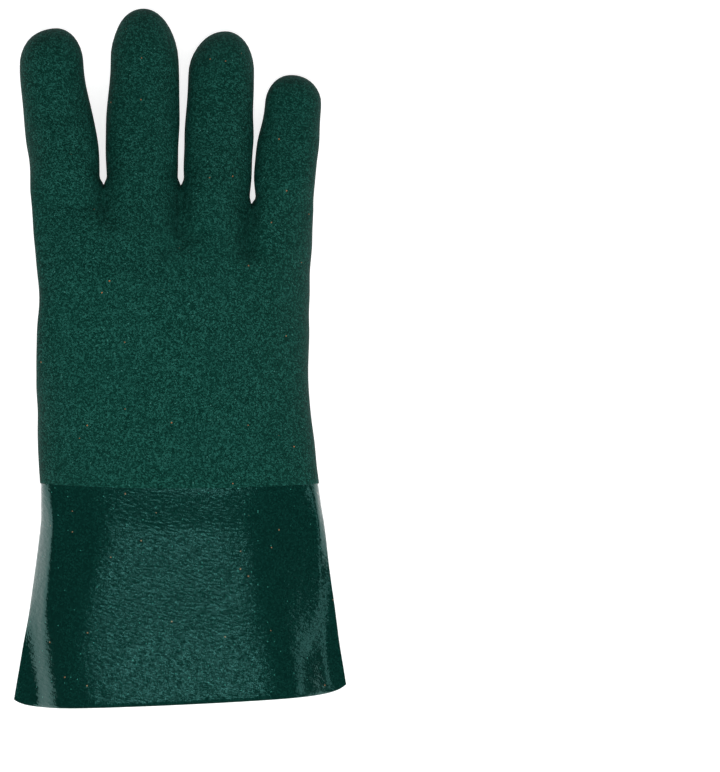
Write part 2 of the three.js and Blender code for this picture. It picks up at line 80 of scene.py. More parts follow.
# %% [markdown]
# Sizes and tables
#
# A soft form like a glove has no plain solids in it, so its shape is read from short tables. Each row gives
# the shape at one place along the glove, as shares of a few real sizes, and a smooth curve runs through the
# rows. These are the sizes of the CAD model, so that the dressed glove lies exactly where the CAD one does.

# %% Driving sizes, mm
CUFF_LENGTH = 98
FINGER_LENGTH = 77
HAND_WIDTH = 124.2
MOUTH_WIDTH = 146.2
HAND_THICKNESS = 36
FINGER_THICKNESS = 25
FINGER_GAP = 2.6
THUMB_START = 54.8
THUMB_LENGTH = 70
THUMB_WIDTH = 31
THUMB_THICKNESS = 21
HAND_WALL = 1.8
CUFF_WALL = 1.4
COAT_STEP = 0.4
CUFF_LAP = 10
MOUTH_SLANT = 6.5
MOUTH_CORNER = 3.5
LINE_BOW = 2
BOW_REACH = 25
WEB_DEPTH = 3
VALLEY_LENGTH = 26
THUMB_ROOM = 1.5
THUMB_TUCK = 4
CREASE_LENGTH = 30
SETTLE = 1.2

PALM_LENGTH = GLOVE_LENGTH - CUFF_LENGTH - FINGER_LENGTH
CROTCH_LINE = CUFF_LENGTH + PALM_LENGTH
SPLIT_LINE = CUFF_LENGTH + THUMB_START
THUMB_TIP = SPLIT_LINE + THUMB_LENGTH
ROOF_HEIGHT = THUMB_THICKNESS - SETTLE + THUMB_ROOM


def table(names, *rows):
    """Columns by name, from rows of numbers."""
    return dict(zip(names.split(), np.array(rows, float).T))


# The hand's edges from the coat line (0) to the finger crotches (1), as shares of half its width.
hand_outline = table(
    "along left right",
    (0.0, -0.985, 0.98),
    (0.12, -1.0, 0.949),
    (0.28, -1.006, 0.918),
    (0.46, -1.0, 0.908),
    (0.64, -0.974, 0.911),
    (0.75, -1.004, 0.921),
    (0.87, -1.026, 0.936),
    (1.0, -1.05, 0.956),
)

# Its heights at the index side (I) and the little side (L), as shares of the hand thickness.
hand_heights = table(
    "along over_I over_L side_I side_L under_I under_L",
    (0.0, 1.0, 0.97, 0.47, 0.47, 0, 0),
    (0.12, 1.05, 0.97, 0.49, 0.46, 0, 0),
    (0.28, 1.16, 0.97, 0.62, 0.45, 0, 0),
    (0.46, 1.27, 0.97, 0.82, 0.45, 0.03, 0),
    (0.64, 1.31, 0.97, 0.89, 0.46, 0.1, 0.01),
    (0.75, 1.29, 0.96, 0.89, 0.47, 0.21, 0.04),
    (0.87, 1.23, 0.91, 0.87, 0.49, 0.35, 0.1),
    (1.0, 1.15, 0.83, 0.8, 0.5, 0.46, 0.19),
)

# The cuff from its mouth (0) to the coat line (1), on its index side (I) and little side (L): how far it
# flares, and its heights as shares of the hand thickness. shape goes from the hand's oval back (0) to the
# cuff's own (1), which is flat in the middle, slopes down from a hinge to a fold, and drops as a wall
# beyond it. hinge and fold are shares of the half width, and edge is the share of the back's height that is
# left at the fold.
cuff_sections = table(
    "along flare_I flare_L over side_I side_L shape hinge_I hinge_L edge_I edge_L fold_I fold_L",
    (0.0, 1.0, 1.0, 0.99, 0.4, 0.42, 1.0, 0.73, 0.7, 0.4, 0.36, 0.8, 0.84),
    (0.1, 0.87, 0.88, 0.972, 0.39, 0.44, 1.0, 0.74, 0.7, 0.44, 0.3, 0.82, 0.855),
    (0.2, 0.74, 0.76, 0.954, 0.38, 0.45, 1.0, 0.76, 0.67, 0.48, 0.26, 0.85, 0.87),
    (0.3, 0.6, 0.67, 0.943, 0.375, 0.455, 1.0, 0.76, 0.63, 0.53, 0.24, 0.865, 0.89),
    (0.4, 0.46, 0.58, 0.941, 0.37, 0.46, 1.0, 0.73, 0.6, 0.57, 0.22, 0.88, 0.91),
    (0.6, 0.24, 0.38, 0.941, 0.38, 0.46, 1.0, 0.63, 0.57, 0.62, 0.24, 0.885, 0.94),
    (0.8, 0.04, 0.21, 0.944, 0.42, 0.46, 0.95, 0.54, 0.53, 0.62, 0.3, 0.89, 0.96),
    (0.9, 0.01, 0.1, 0.965, 0.445, 0.465, 0.6, 0.53, 0.53, 0.62, 0.35, 0.9, 0.965),
    (1.0, 0.0, 0.0, 0.99, 0.47, 0.47, 0.0, 0.53, 0.53, 0.62, 0.4, 0.9, 0.97),
)

# The fingers from the index side: shares of the room for all four, of their own width, and of the longest
# finger.
fingers = table(
    "width mid tip round reach drift skew root_up tip_up",
    (0.263, 1.0, 0.914, 0.55, 0.888, -0.19, 0.06, 1.16, 0.88),
    (0.266, 1.028, 0.958, 0.73, 1.0, 0.016, 0.0, 1.0, 0.64),
    (0.2455, 1.053, 1.008, 0.69, 0.878, 0.08, 0.04, 0.84, 0.51),
    (0.2255, 1.033, 0.933, 0.5, 0.632, 0.11, -0.03, 0.71, 0.44),
)

thumb_sections = table(
    "along width thick lean",
    (0.0, 1.22, 1.0, 0.0),
    (0.3, 1.07, 1.0, 0.02),
    (0.65, 1.0, 0.97, 0.1),
    (1.0, 0.88, 0.86, 0.2),
)

# The webs between the fingers: how far beyond the crotch line each lies, and how far its valley runs down.
webs = table("along valley", (0.0, 0.7), (0.0, 1.0), (-0.105, 1.15))
print("fingers:", len(fingers["width"]), "webs:", len(webs["along"]))

# %% [markdown]
# Reading the tables
#
# All shapes below are worked out on whole arrays at once. Three small helpers do most of the work: a smooth
# curve through a table's column, a smooth step from 0 to 1, and a power that keeps its sign, which turns a
# circle's sine and cosine into a rounded box.

# %% Helpers


def lerp(start, end, share):
    """The place at a share of the way from start to end."""
    return start + (end - start) * share


def smoothstep(value, low, high):
    """0 below low and 1 above high, with a soft S between them: 3 t squared minus 2 t cubed."""
    share = np.clip((value - low) / (high - low), 0, 1)
    return share * share * (3 - 2 * share)


def signed_power(value, power):
    """The power of the size of a value, with the value's own sign."""
    return np.sign(value) * np.abs(value) ** power


def read(rows, column, place):
    """A cubic curve through one column. Its slope at a row is that from the row before to the row after."""
    along, value = rows["along"], rows[column]
    before = np.maximum(np.arange(len(along)) - 1, 0)
    after = np.minimum(np.arange(len(along)) + 1, len(along) - 1)
    slope = (value[after] - value[before]) / (along[after] - along[before])
    at = np.clip(place, along[0], along[-1])
    i = np.clip(np.searchsorted(along, at, side="left") - 1, 0, len(along) - 2)
    span = along[i + 1] - along[i]
    t = (at - along[i]) / span
    bends = slope[i] * t * (1 - t) ** 2 - slope[i + 1] * t * t * (1 - t)
    return lerp(value[i], value[i + 1], smoothstep(t, 0, 1)) + bends * span


# %% [markdown]
# One ring around the hand
#
# A glove is a tube that branches: one ring of points runs around wrist and palm, and at the top it parts
# into four rings for the fingers. If the ring's points stand closer together where two fingers will part,
# every finger gets its share of them, and the mesh flows from palm to finger with no seam. That is why the
# ring is laid out here once, and used for every row of the cuff and the hand.

# %% Ring layout
FINGER_STEPS = 18  # around the back of a finger, and again around its palm side
SIDE_STEPS = 6  # around each side of a finger
THUMB_STEPS = FINGER_STEPS + SIDE_STEPS
CREASE_STEPS = 12
CORNER_ACROSS = 0.975
CORNER_ANGLE = np.radians(25)
SCALLOP = 0.5
FINGERS = len(fingers["width"])

half_hand = HAND_WIDTH / 2
root_left = hand_outline["left"][-1] * half_hand
root_right = hand_outline["right"][-1] * half_hand
finger_room = root_right - root_left - (FINGERS - 1) * FINGER_GAP
finger_width = fingers["width"] * finger_room
finger_left = root_left + np.cumsum(finger_width + FINGER_GAP) - finger_width - FINGER_GAP
finger_middle = finger_left + finger_width / 2
finger_thickness = FINGER_THICKNESS * finger_width / finger_width[1]

web_middle = (finger_left[1:] + (finger_left + finger_width)[:-1]) / 2
web_across = 2 * (web_middle - root_left) / (root_right - root_left) - 1
bounds = np.array([-CORNER_ACROSS, *web_across, CORNER_ACROSS])


def back_points():
    """Where the points of the back stand across the hand, and how the webs shape it there."""
    number = np.arange(FINGERS * FINGER_STEPS + 1)
    finger = np.maximum(number - 1, 0) // FINGER_STEPS
    share = (number - finger * FINGER_STEPS) / FINGER_STEPS
    angle = lerp(np.pi - CORNER_ANGLE, CORNER_ANGLE, share)
    spread = 0.5 + 0.5 * np.cos(angle) / np.cos(CORNER_ANGLE)
    faces_web = np.where(angle > np.pi / 2, finger > 0, finger < FINGERS - 1)
    web_before = np.maximum(finger - 1, 0)
    web_after = np.minimum(finger, FINGERS - 2)
    web_along = lerp(webs["along"][web_before], webs["along"][web_after], share)
    valley = lerp(webs["valley"][web_before], webs["valley"][web_after], share)
    return {
        "across": lerp(bounds[finger], bounds[finger + 1], spread),
        "hollow": faces_web * (1 - np.sin(angle)) * finger_thickness[finger] * SCALLOP,
        "end": CROTCH_LINE - WEB_DEPTH + web_along * FINGER_LENGTH,
        "valley": valley * VALLEY_LENGTH,
    }


def ring_layout():
    """The back from the index side, the little side, the palm on the way back, and the index side."""
    back = back_points()
    count = len(back["across"])
    side = np.arange(1, SIDE_STEPS) / SIDE_STEPS
    turned = 1 - 2 * side
    flat, last = np.ones(count), np.full(SIDE_STEPS - 1, count - 1)
    point = np.concatenate([np.arange(count), last, np.arange(count)[::-1], 0 * last])
    ring = {name: column[point] for name, column in back.items()}
    ring["hollow"] = ring["hollow"] * np.concatenate([flat, 0 * side, flat, 0 * side])
    ring["factor"] = np.concatenate([flat, turned, -flat, -turned])
    ring["offset"] = np.concatenate([0 * flat, 0 * side, 0 * flat, np.pi * (1 + turned)])
    return ring


ring = ring_layout()
RING_COUNT = len(ring["across"])
BACK_COUNT = FINGERS * FINGER_STEPS + 1
UNDER_START = BACK_COUNT + SIDE_STEPS - 1
THUMB_LEFT = RING_COUNT - SIDE_STEPS
THUMB_RIGHT = THUMB_LEFT - THUMB_STEPS
ring_index = np.arange(RING_COUNT)
over_thumb = (ring_index > THUMB_RIGHT) & (ring_index < THUMB_LEFT)
print("points on a ring:", RING_COUNT)

# %% [markdown]
# Folds and swellings
#
# Cloth under a thick coat doesn't crease sharply. It bends in soft grooves, mostly where the fingers meet
# the palm, and it is never quite even. The grooves are a table of lines on the back, each pressed in by a
# bell curve across it. The unevenness is a sum of a few slow waves with fixed phases, which is cheap,
# smooth and the same every time.

# %% Folds and swellings

# Each groove runs from one place to another, as x and the distance from the mouth, both in mm.
grooves = table(
    "x0 y0 x1 y1 depth width",
    (8.5, 207, -7.0, 200, 2.5, 3.6),
    (-7.0, 200, -24, 196, 0.9, 5.0),
    (-62, 220, -33, 219, 1.2, 2.6),
    (-62, 225.5, -36, 226, -0.7, 2.4),
    (-33, 224, -29.5, 213, 2.8, 3.8),
    (0.8, 226, 1.6, 210, 4.2, 4.0),
    (1.6, 210, 8.0, 198, 1.3, 4.5),
    (31.3, 219, 30.6, 200, 4.4, 4.2),
    (30.6, 200, 25, 191, 1.2, 5.0),
    (-66, 184.5, -58, 184, 0.8, 2.2),
)


def groove_depth(x, distance):
    """Depth of all grooves at a place: a bell curve of the distance to each line."""
    depth = np.zeros(np.broadcast(x, distance).shape)
    for x0, y0, x1, y1, deep, wide in zip(*grooves.values()):
        along = ((x - x0) * (x1 - x0) + (distance - y0) * (y1 - y0)) / ((x1 - x0) ** 2 + (y1 - y0) ** 2)
        share = np.clip(along, 0, 1)
        away = np.hypot(x - lerp(x0, x1, share), distance - lerp(y0, y1, share))
        depth += deep * np.exp(-((away / wide) ** 2))
    return depth


waves = table(
    "per_x per_y per_z phase size",
    (0.11, 0.07, 0.05, 0.4, 0.22),
    (-0.06, 0.13, 0.09, 1.9, 0.2),
    (0.19, -0.12, 0.14, 3.1, 0.12),
    (0.05, 0.29, -0.11, 4.4, 0.1),
    (-0.31, 0.09, 0.2, 5.2, 0.07),
    (0.24, 0.37, 0.1, 0.9, 0.05),
)


def swelling(points):
    """Slow unevenness of the skin: the sum of a few waves that run in different directions."""
    total = np.zeros(len(points))
    for per_x, per_y, per_z, phase, size in zip(*waves.values()):
        total += size * np.sin(points @ np.array([per_x, per_y, per_z]) + phase)
    return total


# %% [markdown]
# Cuff, wrist and palm
#
# All three are one tube with a section that changes on the way: nearly a flat box at the mouth, where the
# gauntlet has been pressed for packing, an oval at the wrist, and broad and high over the thumb. The hand's
# section is a superellipse. The cuff's back is flat in the middle, falls from a hinge to a fold on each
# side, and drops as a wall beyond the fold, and it turns into the superellipse towards the wrist.

# %% Tube surface
TABLE_EDGE = 0.75
SLANT_CURVE = 1.6
CORNER_CURVE = 16
TUBE_SQUARE = 2.6
HINGE_SOFT = 0.12
SIDES_CHANGE = 0.2
WALL_ONSET = 1.3
WALL_ROUND = 0.75
UNDER_SQUARE = 4.5
UNDER_ROUND = 0.5


def hinge_drop(out, at):
    """A hyperbola that is nearly level from the middle to the hinge and falls evenly beyond it."""
    return (np.hypot(out - at, HINGE_SOFT) + out - np.hypot(at, HINGE_SOFT)) / 2


def cuff_rise(across, in_cuff):
    """How high the back stands, as a share of its height in the middle.

    It is the product of the flank, 1 less its drop, and the wall, a power of 1 less a power of the way from
    the fold to the edge. Beyond the fold the flank runs out as an exponential, so it never sinks below the
    edge. Near the coat line the back turns into the hand's oval, (1 - across^n)^(1/n).
    """
    out = np.abs(across)
    little = smoothstep(across, -SIDES_CHANGE, SIDES_CHANGE)

    def cuff(name):
        index_side = read(cuff_sections, name + "_I", in_cuff)
        return lerp(index_side, read(cuff_sections, name + "_L", in_cuff), little)

    at, fold, edge = cuff("hinge"), cuff("fold"), cuff("edge")
    flank = 1 - (1 - edge) * hinge_drop(out, at) / hinge_drop(fold, at)
    flank = np.where(out > fold, edge * np.exp(np.minimum(flank / edge - 1, 0)), flank)
    beyond = np.clip((out - fold) / (1 - fold), 0, 1)
    oval = (1 - out**TUBE_SQUARE) ** (1 / TUBE_SQUARE)
    return lerp(oval, flank * (1 - beyond**WALL_ONSET) ** WALL_ROUND, read(cuff_sections, "shape", in_cuff))


def tube_surface(distance, roofed):
    """Cuff and hand, at each ring place and distance from the mouth.

    across runs from -1 to 1 between the two edges of the hand. z rises from the side's height to the back's,
    or falls to the palm's. roofed says that the palm passes over the thumb there.
    """
    in_cuff = np.clip(distance / CUFF_LENGTH, 0, 1)
    in_palm = np.clip((distance - CUFF_LENGTH) / PALM_LENGTH, 0, 1)
    in_hand = distance >= CUFF_LENGTH
    angle = ring["factor"] * np.arccos(signed_power(ring["across"], TUBE_SQUARE / 2)) + ring["offset"]
    across = signed_power(np.cos(angle), 2 / TUBE_SQUARE)
    rise = cuff_rise(across, in_cuff)
    boxy = 1 - in_cuff
    under_square = lerp(TUBE_SQUARE, UNDER_SQUARE, boxy)
    under_rise = (1 - np.abs(across) ** under_square) ** lerp(1 / TUBE_SQUARE, UNDER_ROUND, boxy)

    left = read(hand_outline, "left", in_palm) * half_hand
    right = read(hand_outline, "right", in_palm) * half_hand
    left = lerp(left, -MOUTH_WIDTH / 2, read(cuff_sections, "flare_I", in_cuff))
    right = lerp(right, MOUTH_WIDTH / 2, read(cuff_sections, "flare_L", in_cuff))
    x = lerp(left, right, (across + 1) / 2)

    towards_little = (across + TABLE_EDGE) / (2 * TABLE_EDGE)

    def height(name):
        index_side = read(hand_heights, name + "_I", in_palm)
        return HAND_THICKNESS * lerp(index_side, read(hand_heights, name + "_L", in_palm), towards_little)

    cuff_index_side = read(cuff_sections, "side_I", in_cuff)
    cuff_side = lerp(cuff_index_side, read(cuff_sections, "side_L", in_cuff), towards_little)
    over = np.where(in_hand, height("over"), HAND_THICKNESS * read(cuff_sections, "over", in_cuff))
    side = np.where(in_hand, height("side"), HAND_THICKNESS * cuff_side)
    fade = smoothstep(distance, ring["end"] - ring["valley"], ring["end"])
    pressed = ring["hollow"] * fade + groove_depth(x, distance) * rise
    back = side + (over - side) * rise - pressed

    grows = np.where(over_thumb, float(roofed), smoothstep(distance, SPLIT_LINE - CREASE_LENGTH, SPLIT_LINE))
    passes = 1 - smoothstep(distance, THUMB_TIP - THUMB_WIDTH / 2, THUMB_TIP)
    foot = ring["across"][THUMB_RIGHT - CREASE_STEPS]
    roof = smoothstep(-across, -foot, -ring["across"][THUMB_RIGHT]) * grows * passes
    under = lerp(height("under") - SETTLE, ROOF_HEIGHT, roof)
    palm = side - (side - under) * under_rise + ring["hollow"] * fade
    z = np.where(np.sin(angle) > 0, back, palm)

    slant = MOUTH_SLANT * ((across + 1) / 2) ** SLANT_CURVE + MOUTH_CORNER * across**CORNER_CURVE
    bow = LINE_BOW * (1 - across**2) * np.exp(-(((distance - CUFF_LENGTH) / BOW_REACH) ** 2))
    y = distance + slant * (1 - in_cuff) - bow
    return np.stack(np.broadcast_arrays(x, y, z), axis=-1)


# %% [markdown]
# Fingers and thumb
#
# A finger stall is again a tube, from its root ring on the palm to a rounded tip. Near the root its points
# have to part from the palm's shape and take the finger's own, so each row is a blend of the two, and the
# sides change over sooner than the back, which keeps the knuckles soft. At the tip the rows follow a
# quarter of an ellipse to a pole.

# %% Stall surface
stall_rows = np.concatenate([[0.012, 0.024, 0.036, 0.05], np.linspace(0.07, 1, 40)])
tip_angles = np.radians([10, 20, 30, 40, 49, 57, 65, 72, 78, 84])


def stall_surface(root, angles, tip_at, tip_length, square, eases, section):
    """Rows of a stall, without its root ring, and its pole.

    section gives middle, half width and half thickness at a share of the way to the tip. Its outline is the
    signed power 2/square of cosine and sine, shrunk by the cosine of the turn along the rounded tip.
    """
    share = np.concatenate([stall_rows, np.ones(len(tip_angles))])[:, None]
    turn = np.concatenate([0 * stall_rows, tip_angles])[:, None]
    y = lerp(root[:, 1], tip_at - tip_length, share) + tip_length * np.sin(turn)
    middle_x, middle_z, half_width, half_thick = section(share, y, turn)
    x = middle_x + half_width * np.cos(turn) * signed_power(np.cos(angles), 2 / square)
    z = middle_z + half_thick * np.cos(turn) * signed_power(np.sin(angles), 2 / square)
    grown = smoothstep(share, 0, lerp(eases["side"], eases["face"], np.abs(np.sin(angles))))
    settled = smoothstep(share, 0, eases["height"])
    rows = np.stack([lerp(root[:, 0], x, grown), y, lerp(root[:, 2], z, settled)], axis=-1)
    pole_x, pole_z, _, _ = section(np.ones(1), np.full(1, tip_at), np.full(1, np.pi / 2))
    return rows, np.array([pole_x[0], tip_at, pole_z[0]])


# %% [markdown]
# The skin
#
# Rings and rows are now joined into one skin for the cuff and one for the hand. Both are read from the same
# surface, so the hem of the rough coat follows the cuff under it exactly.

# %% Skin


class Skin:
    """Points with their own flat coordinates, and the faces between them."""

    def __init__(self):
        self.points = []
        self.flat = []
        self.faces = []
        self.count = 0

    def add(self, rows, flat):
        """Adds an array of points and returns their numbers in the same shape."""
        shape = rows.shape[:-1]
        numbers = np.arange(self.count, self.count + int(np.prod(shape))).reshape(shape)
        self.points.append(rows.reshape(-1, 3))
        self.flat.append(np.broadcast_to(flat, (*shape, 2)).reshape(-1, 2))
        self.count += numbers.size
        return numbers

    def bridge(self, rows):
        """Faces between rows of closed rings."""
        low, high = rows[:-1], rows[1:]
        quads = [low, np.roll(low, -1, axis=1), np.roll(high, -1, axis=1), high]
        self.faces += np.stack(quads, axis=-1).reshape(-1, 4).tolist()

    def close(self, last, pole):
        """Faces from the last ring to the pole."""
        self.faces += np.stack([last, np.roll(last, -1), np.full_like(last, pole)], axis=-1).tolist()


# Flat coordinates: how far a point is around the wrist and along the glove, which the knit follows.
wrist = tube_surface(np.full(RING_COUNT, CUFF_LENGTH * 1.0), False)
steps_around = np.linalg.norm(np.roll(wrist, -1, axis=0) - wrist, axis=1)
around = np.cumsum(steps_around) - steps_around
GIRTH = steps_around.sum()


def flat_of(rows):
    """Around the wrist by ring place, and along the glove by y."""
    return np.stack([np.broadcast_to(around, rows.shape[:-1]), rows[..., 1]], axis=-1)


CUFF_ROWS = 60
lap_distances = CUFF_LENGTH + np.array([0.5, 1.0]) * CUFF_LAP
cuff_distances = np.concatenate([np.linspace(0, CUFF_LENGTH, CUFF_ROWS), lap_distances])
cuff_skin = Skin()
cuff_rows = tube_surface(cuff_distances[:, None] + 0 * around, False)
cuff_numbers = cuff_skin.add(cuff_rows, flat_of(cuff_rows))
cuff_skin.bridge(cuff_numbers)
print("cuff skin:", cuff_skin.count, "points, girth at the wrist", round(GIRTH), "mm")

# %% Hand skin
WRIST_ROWS = 34
PALM_ROWS = 46
FINGER_SQUARE = 2.2
THUMB_SQUARE = 2.6
THUMB_ROUND = 0.6
THUMB_SHOULDER = 40
DRIFT_ENDS = 0.8
WEB_EASE = 0.04  # how soon a finger has its own width where it faces a web
OUTER_EASE = 0.4  # and on the outer edges of the hand
finger_eases = {"face": 0.3, "height": 0.3}
thumb_eases = {"side": 0.45, "face": 0.45, "height": 0.1}

hand_skin = Skin()
wrist_distances = np.linspace(CUFF_LENGTH, SPLIT_LINE, WRIST_ROWS)
wrist_points = tube_surface(wrist_distances[:, None] + 0 * around, False)
wrist_numbers = hand_skin.add(wrist_points, flat_of(wrist_points))
hand_skin.bridge(wrist_numbers)
split_ring = wrist_numbers[-1]

# Over the thumb the palm ring parts from the thumb's ring, with a small web between them.
roofed_ring = tube_surface(np.full(RING_COUNT, SPLIT_LINE), True)[over_thumb]
roofed_ring[:, 1] += WEB_DEPTH
palm_ring = split_ring.copy()
palm_ring[over_thumb] = hand_skin.add(roofed_ring, np.stack([around[over_thumb], roofed_ring[:, 1]], axis=-1))
palm_shares = np.linspace(0, 1, PALM_ROWS)[1:, None]
palm_points = tube_surface(lerp(SPLIT_LINE, ring["end"], palm_shares), True)
palm_numbers = hand_skin.add(palm_points, flat_of(palm_points))
hand_skin.bridge(np.concatenate([palm_ring[None], palm_numbers]))
last_ring = palm_numbers[-1]


def joined(skin):
    """All points of a skin so far."""
    return np.concatenate(skin.points)


def web(k):
    """The points of one web, from the back to the palm, on a small arc."""
    points = joined(hand_skin)
    back = points[last_ring[(k + 1) * FINGER_STEPS]]
    palm = points[last_ring[UNDER_START + BACK_COUNT - 1 - (k + 1) * FINGER_STEPS]]
    share = (np.arange(1, SIDE_STEPS) / SIDE_STEPS)[:, None]
    arc = lerp(back, palm, share) + [0, WEB_DEPTH, 0] * np.sin(np.pi * share)
    return hand_skin.add(arc, arc[:, :2] * [0, 1])


web_numbers = [web(k) for k in range(FINGERS - 1)]


def turns(*corners):
    """Angles around a stall, from one corner to the next in even steps."""
    pieces = [
        np.linspace(start, end, steps, endpoint=False)
        for (start, _), (end, steps) in zip(corners, corners[1:])
    ]
    return np.radians(np.concatenate(pieces))


corner = np.degrees(CORNER_ANGLE)
finger_angles = turns(
    (180 - corner, 0),
    (corner, FINGER_STEPS),
    (-corner, SIDE_STEPS),
    (corner - 180, FINGER_STEPS),
    (-180 - corner, SIDE_STEPS),
)


def finger_section(k):
    """Section of a finger, which leans sideways by its drift and sinks from its root height to its tip's."""
    widths = table("along width", (0, 1), (0.5, fingers["mid"][k]), (1, fingers["tip"][k]))
    tip_at = CROTCH_LINE + fingers["reach"][k] * FINGER_LENGTH

    def section(share, y, turn):
        along = np.clip((y - CROTCH_LINE) / (tip_at - CROTCH_LINE), 0, 1)
        drift = fingers["drift"][k] * smoothstep(along, 0, DRIFT_ENDS)
        lean = drift + fingers["skew"][k] * (1 - np.cos(turn))
        x = finger_middle[k] + lean * finger_width[k]
        z = FINGER_THICKNESS * lerp(fingers["root_up"][k], fingers["tip_up"][k], np.sin(along * np.pi / 2))
        width = read(widths, "width", share)
        return x, z, finger_width[k] / 2 * width, finger_thickness[k] / 2 * width

    return section, tip_at


def add_stall(root_numbers, *shape):
    """Joins one stall to the hand."""
    root = joined(hand_skin)[root_numbers]
    rows, pole = stall_surface(root, *shape)
    flat_x = np.concatenate(hand_skin.flat)[root_numbers][:, 0]
    flat = np.stack([np.broadcast_to(flat_x, rows.shape[:-1]), rows[..., 1]], axis=-1)
    numbers = hand_skin.add(rows, flat)
    pole_number = hand_skin.add(pole[None], pole[None, :2])[0]
    hand_skin.bridge(np.concatenate([root_numbers[None], numbers]))
    hand_skin.close(numbers[-1], pole_number)


for k in range(FINGERS):
    section, tip_at = finger_section(k)
    palm_end = UNDER_START + BACK_COUNT - k * FINGER_STEPS
    little_side = web_numbers[k] if k < FINGERS - 1 else last_ring[BACK_COUNT:UNDER_START]
    index_side = web_numbers[k - 1][::-1] if k > 0 else last_ring[UNDER_START + BACK_COUNT :]
    root = np.concatenate(
        [
            last_ring[k * FINGER_STEPS : (k + 1) * FINGER_STEPS + 1],
            little_side,
            last_ring[palm_end - FINGER_STEPS - 1 : palm_end],
            index_side,
        ]
    )
    tip_length = fingers["round"][k] * finger_width[k]
    little_ease = WEB_EASE if k < FINGERS - 1 else OUTER_EASE
    index_ease = WEB_EASE if k > 0 else OUTER_EASE
    eases = {**finger_eases, "side": np.where(np.cos(finger_angles) > 0, little_ease, index_ease)}
    add_stall(root, finger_angles, tip_at, tip_length, FINGER_SQUARE, eases, section)

thumb_under = split_ring[THUMB_RIGHT : THUMB_LEFT + 1]
thumb_over = palm_ring[THUMB_RIGHT + 1 : THUMB_LEFT][::-1]
thumb_root = np.concatenate([thumb_under, thumb_over])
thumb_angles = turns(
    (THUMB_SHOULDER, 0),
    (-180 - THUMB_SHOULDER, THUMB_STEPS),
    (THUMB_SHOULDER - 360, THUMB_STEPS),
)
thumb_outer = joined(hand_skin)[thumb_root[THUMB_LEFT - THUMB_RIGHT]][0] + THUMB_TUCK


def thumb_section(share, y, turn):
    """Section of the thumb, which rests on the ground and leans in under the palm."""
    half_width = THUMB_WIDTH / 2 * read(thumb_sections, "width", share)
    half_thick = THUMB_THICKNESS / 2 * read(thumb_sections, "thick", share)
    x = thumb_outer + half_width + THUMB_WIDTH * read(thumb_sections, "lean", share)
    return x, half_thick - SETTLE, half_width, half_thick


thumb_tip_length = THUMB_ROUND * THUMB_WIDTH
add_stall(thumb_root, thumb_angles, THUMB_TIP, thumb_tip_length, THUMB_SQUARE, thumb_eases, thumb_section)
print("hand skin:", hand_skin.count, "points,", len(hand_skin.faces), "faces")

# %% [markdown]
# Walls
#
# The skin gets its thickness by a second layer, moved inwards along the normals, and a rounded rim at each
# open edge. Solidify could do it, but here the rough coat has to thin out to nothing over the cuff, and the
# cuff has to pass under it. With the depth of both layers given at each point, the two meet as two dips of
# one glove do. The normals of the inner layer are smoothed first, so that it doesn't cross itself inside a
# sharp fold.

# %% Walls
RIM_STEPS = 4
RIM_BULGE = 0.3
NORMAL_ROUNDS = 6


def triangles_of(faces):
    """Two triangles for each face of four corners, one for each of three."""
    quads = np.array([face for face in faces if len(face) == 4])
    rest = [face for face in faces if len(face) == 3]
    parts = [quads[:, [0, 1, 2]], quads[:, [0, 2, 3]]] + ([np.array(rest)] if rest else [])
    return np.concatenate(parts)


def normals_of(points, triangles):
    """The mean direction of the faces around each point, weighted by their area."""
    a, b, c = (points[triangles[:, corner]] for corner in range(3))
    face = np.cross(b - a, c - a)
    normals = np.zeros_like(points)
    for corner in range(3):
        np.add.at(normals, triangles[:, corner], face)
    return normals / np.maximum(np.linalg.norm(normals, axis=1, keepdims=True), 1e-9)


def smoothed(values, triangles, rounds):
    """Each value becomes the mean of its own and its neighbours', a few times over."""
    for _ in range(rounds):
        total = values.copy()
        weight = np.ones((len(values), 1))
        for one, other in ((0, 1), (1, 2), (2, 0)):
            for start, end in ((one, other), (other, one)):
                np.add.at(total, triangles[:, start], values[triangles[:, end]])
                np.add.at(weight, triangles[:, start], 1)
        values = total / weight
    return values / np.maximum(np.linalg.norm(values, axis=1, keepdims=True), 1e-9)


